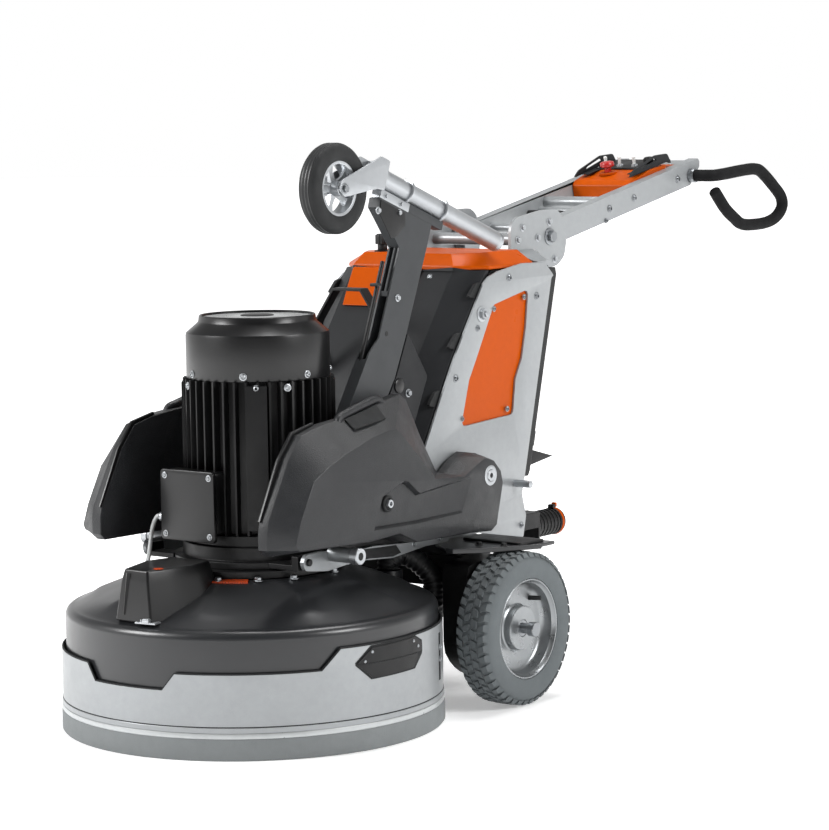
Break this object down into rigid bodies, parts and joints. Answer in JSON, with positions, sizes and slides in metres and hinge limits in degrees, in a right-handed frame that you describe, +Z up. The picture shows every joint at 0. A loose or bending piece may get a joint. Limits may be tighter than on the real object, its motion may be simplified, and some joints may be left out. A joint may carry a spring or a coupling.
{
  "type": "concrete grinder",
  "caption": "Walk-behind planetary floor grinder: round skirted head, vertical finned motor, steel chassis on drive wheels, swing weights, fold-down jockey wheel and a control handle.",
  "frame": {"origin": "centre of the bounding box at floor level, under the machine", "axes": "+X towards the machine's left side, +Y from the grinding head back to the handle, +Z up"},
  "size_m": [0.922, 2.5249, 1.3139],
  "materials": {
    "side_plate_left": "satin",
    "side_plate_right": "satin",
    "window_panel_left": "gloss",
    "window_panel_right": "gloss",
    "front_cover": "satin",
    "cabinet": "satin",
    "inverter": "matte",
    "hood": "gloss",
    "filler_cap": "matte",
    "handle_mount": "satin",
    "axle_housing": "satin",
    "fender_deck": "satin",
    "chassis_arm_left": "zinc plated",
    "chassis_arm_right": "zinc plated",
    "jockey_post": "satin",
    "stow_bracket": "satin",
    "hoop": "satin",
    "power_inlet": "matte",
    "inlet_cap": "satin",
    "dust_hose": "matte",
    "rear_door": "satin",
    "door_latch": "matte",
    "head_cover": "satin",
    "gearbox": "matte",
    "motor_flange": "painted satin",
    "motor_stator": "painted satin",
    "motor_rotor": "machined",
    "fan_cowl": "satin",
    "terminal_box": "satin",
    "motor_cable": "satin",
    "planet_plate": "machined",
    "grinding_disc_1": "machined",
    "grinding_disc_2": "machined",
    "grinding_disc_3": "machined",
    "skirt_shroud": "satin",
    "skirt_ring": "matte",
    "tyre_left": "matte",
    "tyre_right": "matte",
    "wheel_rim_left": "zinc plated",
    "wheel_rim_right": "zinc plated",
    "release_knob_left": "zinc plated",
    "release_knob_right": "zinc plated",
    "wing_left": "painted satin",
    "wing_right": "painted satin",
    "jockey_arm": "satin",
    "jockey_clamp": "zinc plated",
    "jockey_tube": "zinc plated",
    "jockey_fork": "zinc plated",
    "jockey_tyre": "matte",
    "jockey_rim": "zinc plated",
    "handle_frame": "satin",
    "control_box": "satin",
    "control_guard": "satin",
    "loop_grip": "foam",
    "emergency_stop": "gloss",
    "toggle_1": "satin",
    "toggle_2": "satin",
    "toggle_3": "satin",
    "speed_knob": "matte"
  },
  "bodies": {
    "chassis": {"side_plate_left": "side_plate_left", "side_plate_right": "side_plate_right", "window_panel_left": "window_panel_left", "window_panel_right": "window_panel_right", "front_cover": "front_cover", "cabinet": "cabinet", "inverter": "inverter", "hood": "hood", "handle_mount": "handle_mount", "axle_housing": "axle_housing", "fender_deck": "fender_deck", "chassis_arm_left": "chassis_arm_left", "chassis_arm_right": "chassis_arm_right", "jockey_post": "jockey_post", "stow_bracket": "stow_bracket", "hoop": "hoop", "power_inlet": "power_inlet", "dust_hose": "dust_hose"},
    "head": {"head_cover": "head_cover", "gearbox": "gearbox", "motor_flange": "motor_flange", "motor_stator": "motor_stator", "fan_cowl": "fan_cowl", "terminal_box": "terminal_box", "motor_cable": "motor_cable"},
    "rotor": {"motor_rotor": "motor_rotor"},
    "planet": {"planet_plate": "planet_plate"},
    "disc_1": {"grinding_disc_1": "grinding_disc_1"},
    "disc_2": {"grinding_disc_2": "grinding_disc_2"},
    "disc_3": {"grinding_disc_3": "grinding_disc_3"},
    "skirt": {"skirt_shroud": "skirt_shroud", "skirt_ring": "skirt_ring"},
    "wheel_left": {"tyre_left": "tyre_left", "wheel_rim_left": "wheel_rim_left"},
    "wheel_right": {"tyre_right": "tyre_right", "wheel_rim_right": "wheel_rim_right"},
    "knob_left": {"release_knob_left": "release_knob_left"},
    "knob_right": {"release_knob_right": "release_knob_right"},
    "wing_left": {"wing_left": "wing_left"},
    "wing_right": {"wing_right": "wing_right"},
    "arm": {"jockey_arm": "jockey_arm", "jockey_clamp": "jockey_clamp"},
    "tube": {"jockey_tube": "jockey_tube"},
    "fork": {"jockey_fork": "jockey_fork"},
    "jockey_wheel": {"jockey_tyre": "jockey_tyre", "jockey_rim": "jockey_rim"},
    "handle": {"handle_frame": "handle_frame", "control_box": "control_box", "control_guard": "control_guard", "loop_grip": "loop_grip"},
    "stop": {"emergency_stop": "emergency_stop"},
    "switch_1": {"toggle_1": "toggle_1"},
    "switch_2": {"toggle_2": "toggle_2"},
    "switch_3": {"toggle_3": "toggle_3"},
    "speed": {"speed_knob": "speed_knob"},
    "door": {"rear_door": "rear_door"},
    "latch": {"door_latch": "door_latch"},
    "cap": {"inlet_cap": "inlet_cap"},
    "filler": {"filler_cap": "filler_cap"}
  },
  "joints": [
    {"name": "head_tilt", "type": "hinge", "parent": "chassis", "child": "head", "pos_m": [0, -0.9125, 0.394], "axis": [1, 0, 0], "range_deg": [0, 3], "deforming": ["dust_hose"]},
    {"name": "skirt_float", "type": "slide", "parent": "head", "child": "skirt", "axis": [0, 0, 1], "range_m": [0, 0.03]},
    {"name": "planet_spin", "type": "hinge", "parent": "head", "child": "planet", "pos_m": [0, -0.8255, 0.09], "axis": [0, 0, 1], "continuous": true},
    {"name": "rotor_spin", "type": "hinge", "parent": "head", "child": "rotor", "pos_m": [0, -0.787, 0.6], "axis": [0, 0, 1], "continuous": true},
    {"name": "disc_spin_1", "type": "hinge", "parent": "planet", "child": "disc_1", "pos_m": [0, -0.5635, 0.04], "axis": [0, 0, 1], "continuous": true},
    {"name": "disc_spin_2", "type": "hinge", "parent": "planet", "child": "disc_2", "pos_m": [-0.2269, -0.9565, 0.04], "axis": [0, 0, 1], "continuous": true},
    {"name": "disc_spin_3", "type": "hinge", "parent": "planet", "child": "disc_3", "pos_m": [0.2269, -0.9565, 0.04], "axis": [0, 0, 1], "continuous": true},
    {"name": "wheel_spin_left", "type": "hinge", "parent": "chassis", "child": "wheel_left", "pos_m": [0.398, -0.3535, 0.18], "axis": [1, 0, 0], "continuous": true},
    {"name": "release_left", "type": "slide", "parent": "wheel_left", "child": "knob_left", "axis": [1, 0, 0], "range_m": [0, 0.018]},
    {"name": "wing_swing_left", "type": "hinge", "parent": "chassis", "child": "wing_left", "pos_m": [0.272, -0.3215, 0.528], "axis": [-1, 0, 0], "range_deg": [0, 158]},
    {"name": "wheel_spin_right", "type": "hinge", "parent": "chassis", "child": "wheel_right", "pos_m": [-0.398, -0.3535, 0.18], "axis": [1, 0, 0], "continuous": true},
    {"name": "release_right", "type": "slide", "parent": "wheel_right", "child": "knob_right", "axis": [-1, 0, 0], "range_m": [0, 0.018]},
    {"name": "wing_swing_right", "type": "hinge", "parent": "chassis", "child": "wing_right", "pos_m": [-0.272, -0.3215, 0.528], "axis": [-1, 0, 0], "range_deg": [0, 158]},
    {"name": "jockey_fold", "type": "hinge", "parent": "chassis", "child": "arm", "pos_m": [0.194, -0.7655, 0.545], "axis": [1, 0, 0], "range_deg": [0, 112]},
    {"name": "jockey_extend", "type": "slide", "parent": "arm", "child": "tube", "axis": [0, -0.9402, 0.3407], "range_m": [0, 0.214]},
    {"name": "jockey_swivel", "type": "hinge", "parent": "tube", "child": "fork", "pos_m": [0.194, -0.5755, 1.23], "axis": [0, 0.9402, -0.3407], "continuous": true},
    {"name": "jockey_spin", "type": "hinge", "parent": "fork", "child": "jockey_wheel", "pos_m": [0.194, -0.74584, 1.21196], "axis": [1, 0, 0], "continuous": true},
    {"name": "handle_fold", "type": "hinge", "parent": "chassis", "child": "handle", "pos_m": [0, 0.1925, 1.063], "axis": [1, 0, 0], "range_deg": [0, 78]},
    {"name": "stop_press", "type": "slide", "parent": "handle", "child": "stop", "axis": [0, 0.1949, -0.9808], "range_m": [0, 0.003], "stiffness_N_per_m": 600},
    {"name": "switch_turn_1", "type": "hinge", "parent": "handle", "child": "switch_1", "pos_m": [-0.062, 0.75948, 1.22665], "axis": [0, -0.1949, 0.9808], "range_deg": [-45, 45]},
    {"name": "switch_turn_2", "type": "hinge", "parent": "handle", "child": "switch_2", "pos_m": [-0.018, 0.75948, 1.22665], "axis": [0, -0.1949, 0.9808], "range_deg": [-45, 45]},
    {"name": "switch_turn_3", "type": "hinge", "parent": "handle", "child": "switch_3", "pos_m": [0.028, 0.75948, 1.22665], "axis": [0, -0.1949, 0.9808], "range_deg": [-45, 45]},
    {"name": "speed_turn", "type": "hinge", "parent": "handle", "child": "speed", "pos_m": [0.052, 0.79282, 1.23328], "axis": [0, -0.1949, 0.9808], "range_deg": [0, 270]},
    {"name": "door_swing", "type": "hinge", "parent": "chassis", "child": "door", "pos_m": [-0.206, 0.05984, 0.739], "axis": [0, 0.2525, 0.9676], "range_deg": [0, 90]},
    {"name": "latch_turn", "type": "hinge", "parent": "door", "child": "latch", "pos_m": [0.191, 0.02277, 0.574], "axis": [0, 0.9676, -0.2525], "range_deg": [0, 90]},
    {"name": "inlet_cap_flip", "type": "hinge", "parent": "chassis", "child": "cap", "pos_m": [0.158, 0.1535, 0.392], "axis": [1, 0, 0], "range_deg": [0, 110]},
    {"name": "filler_turn", "type": "hinge", "parent": "chassis", "child": "filler", "pos_m": [-0.1, -0.1855, 1.06], "axis": [0, 0, 1], "range_deg": [0, 90]}
  ],
  "couplings": [
    {"joint": "rotor_spin", "follows": "planet_spin", "ratio": 8},
    {"joint": "disc_spin_1", "follows": "planet_spin", "ratio": -5},
    {"joint": "disc_spin_2", "follows": "planet_spin", "ratio": -5},
    {"joint": "disc_spin_3", "follows": "planet_spin", "ratio": -5}
  ]
}
